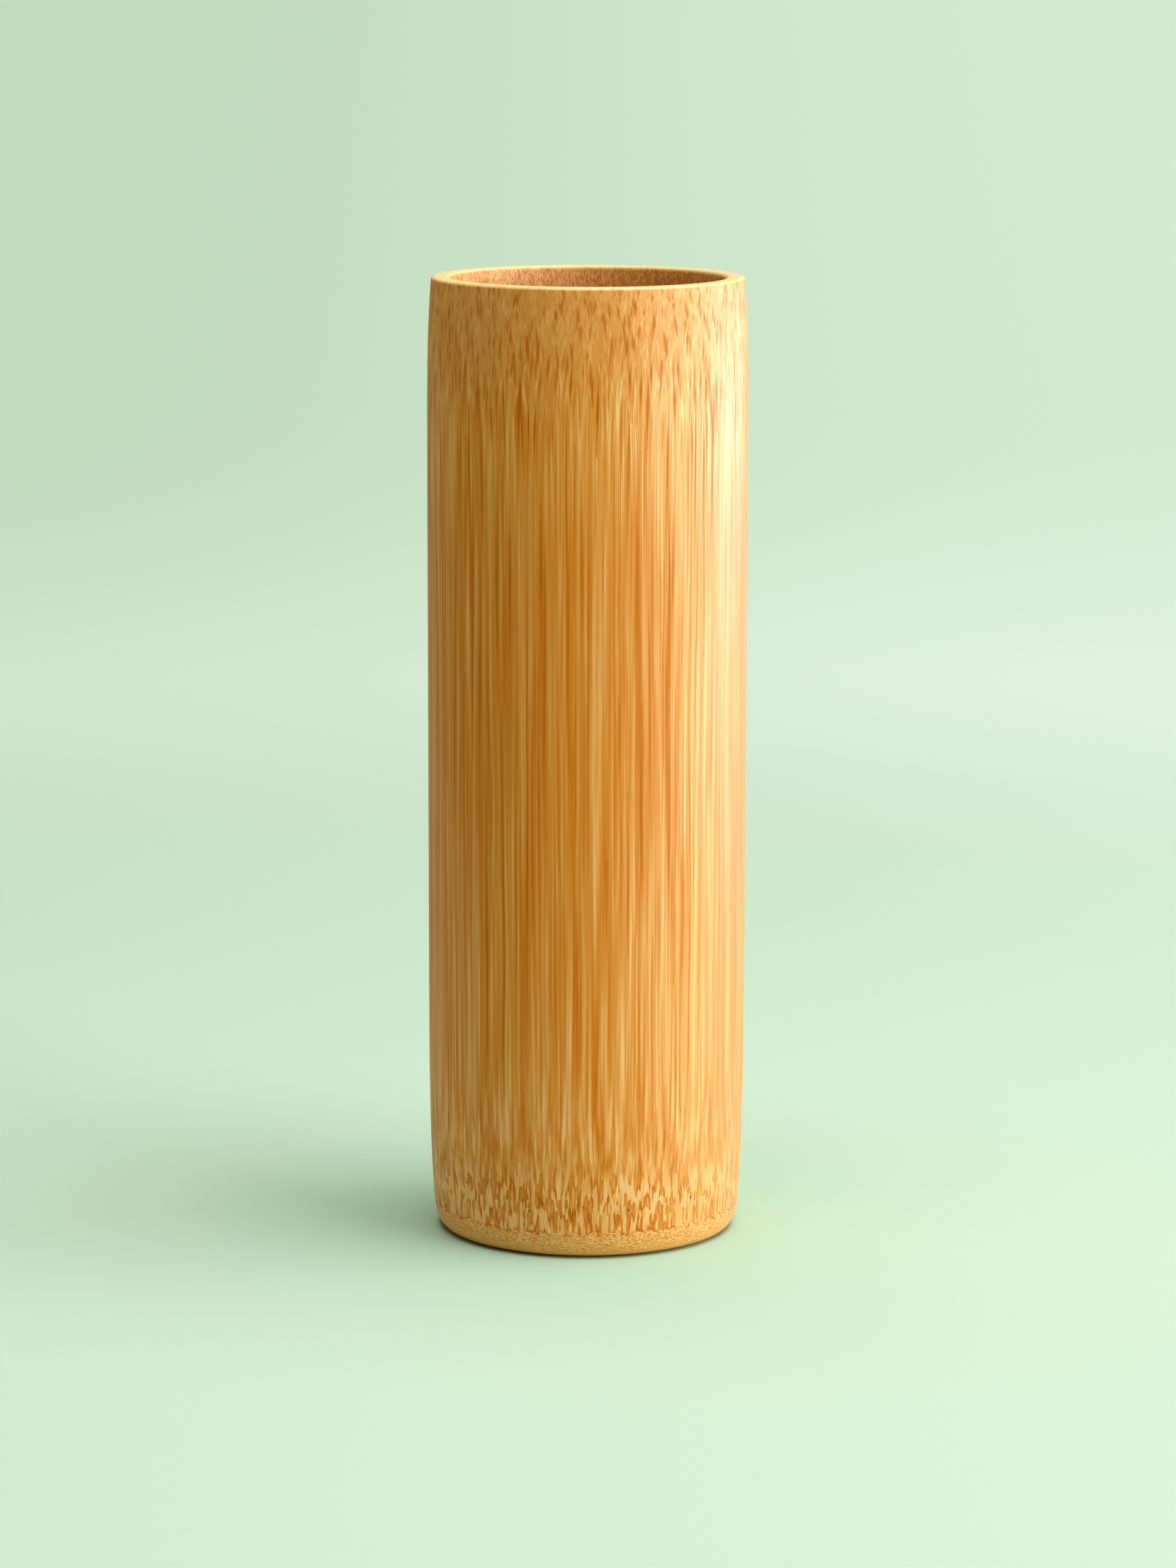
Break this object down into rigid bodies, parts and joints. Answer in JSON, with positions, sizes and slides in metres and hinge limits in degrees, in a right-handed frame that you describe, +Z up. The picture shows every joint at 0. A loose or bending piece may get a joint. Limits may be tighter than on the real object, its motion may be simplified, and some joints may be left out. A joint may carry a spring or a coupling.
{
  "type": "bamboo cup",
  "caption": "Tall straight drinking cup turned from a bamboo culm, with a drawn-in rim, a rounded foot and the culm's own node as its floor.",
  "frame": {"origin": "middle of the foot, on the plane that the cup stands on", "axes": "+Z up along the cup's axis, out of the mouth; the cup is round, so X and Y are free"},
  "size_m": [0.0662, 0.0662, 0.2],
  "materials": {
    "long_grain": "turned bamboo with vertical fibres, sanded and sealed to a soft satin",
    "node_tissue": "bamboo node tissue with fine wavy speckled grain, sanded and sealed to a soft satin",
    "inner_tissue": "inner bamboo tissue of the septum, matt and a little darker"
  },
  "bodies": {
    "root": {"culm_wall": "long_grain", "node_ring": "node_tissue", "septum": "inner_tissue"}
  },
  "joints": []
}
